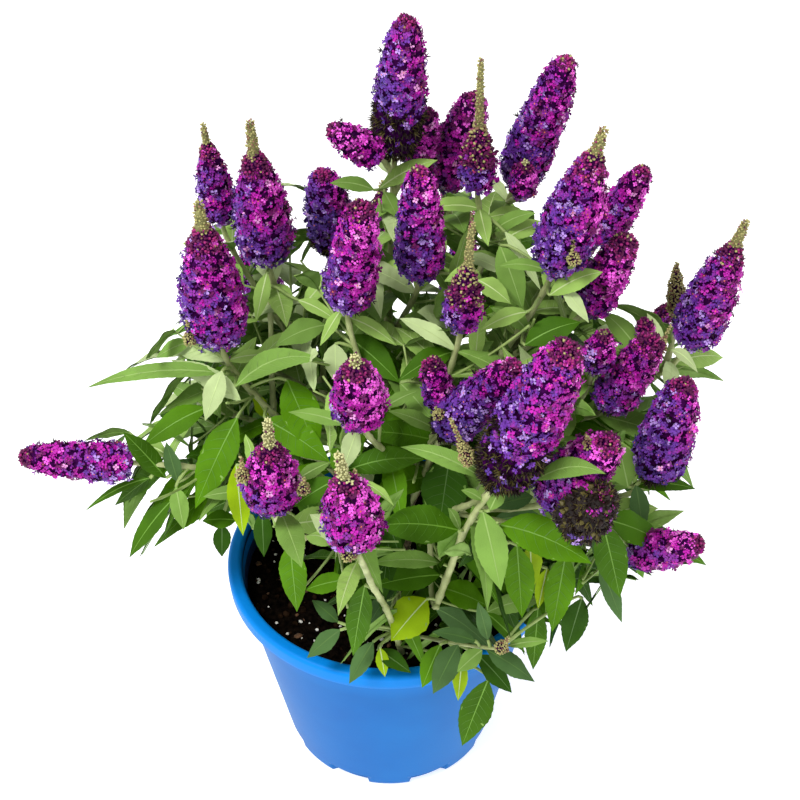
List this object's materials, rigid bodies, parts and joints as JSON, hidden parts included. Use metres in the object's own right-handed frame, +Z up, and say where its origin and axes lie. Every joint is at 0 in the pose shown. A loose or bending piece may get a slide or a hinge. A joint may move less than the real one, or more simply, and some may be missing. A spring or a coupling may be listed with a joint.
{
  "type": "potted butterfly bush",
  "caption": "Bushy flowering shrub in a tapered round nursery pot: slim boughs, opposite lance-shaped leaves and upright conical flower spikes.",
  "frame": {"origin": "centre of the pot's flat underside", "axes": "+Z up, -Y towards the side that faces the viewer, +X to that viewer's right"},
  "size_m": [0.5111, 0.5132, 0.6412],
  "materials": {
    "pot_plastic": "satin blue plastic",
    "soil": "loose dark potting mix",
    "bark": "rough light brown bark",
    "foliage": "matte green leaves with purple flower spikes"
  },
  "bodies": {
    "root": {"bough_back": "bark", "bough_back_left": "bark", "bough_back_right": "bark", "bough_crown_top": "bark", "bough_far_left": "bark", "bough_far_right": "bark", "bough_front_left": "bark", "bough_front_middle": "bark", "bough_front_right": "bark", "bough_left": "bark", "bough_right_front": "bark", "bough_upper_back_right": "bark", "bough_upper_left": "bark", "bough_upper_right": "bark", "mass_back": "foliage", "mass_back_left": "foliage", "mass_back_right": "foliage", "mass_crown_top": "foliage", "mass_far_left": "foliage", "mass_far_right": "foliage", "mass_front_left": "foliage", "mass_front_middle": "foliage", "mass_front_right": "foliage", "mass_left": "foliage", "mass_right_front": "foliage", "mass_upper_back_right": "foliage", "mass_upper_left": "foliage", "mass_upper_right": "foliage", "pot": "pot_plastic", "potting_soil": "soil", "trunk": "bark"}
  },
  "joints": []
}
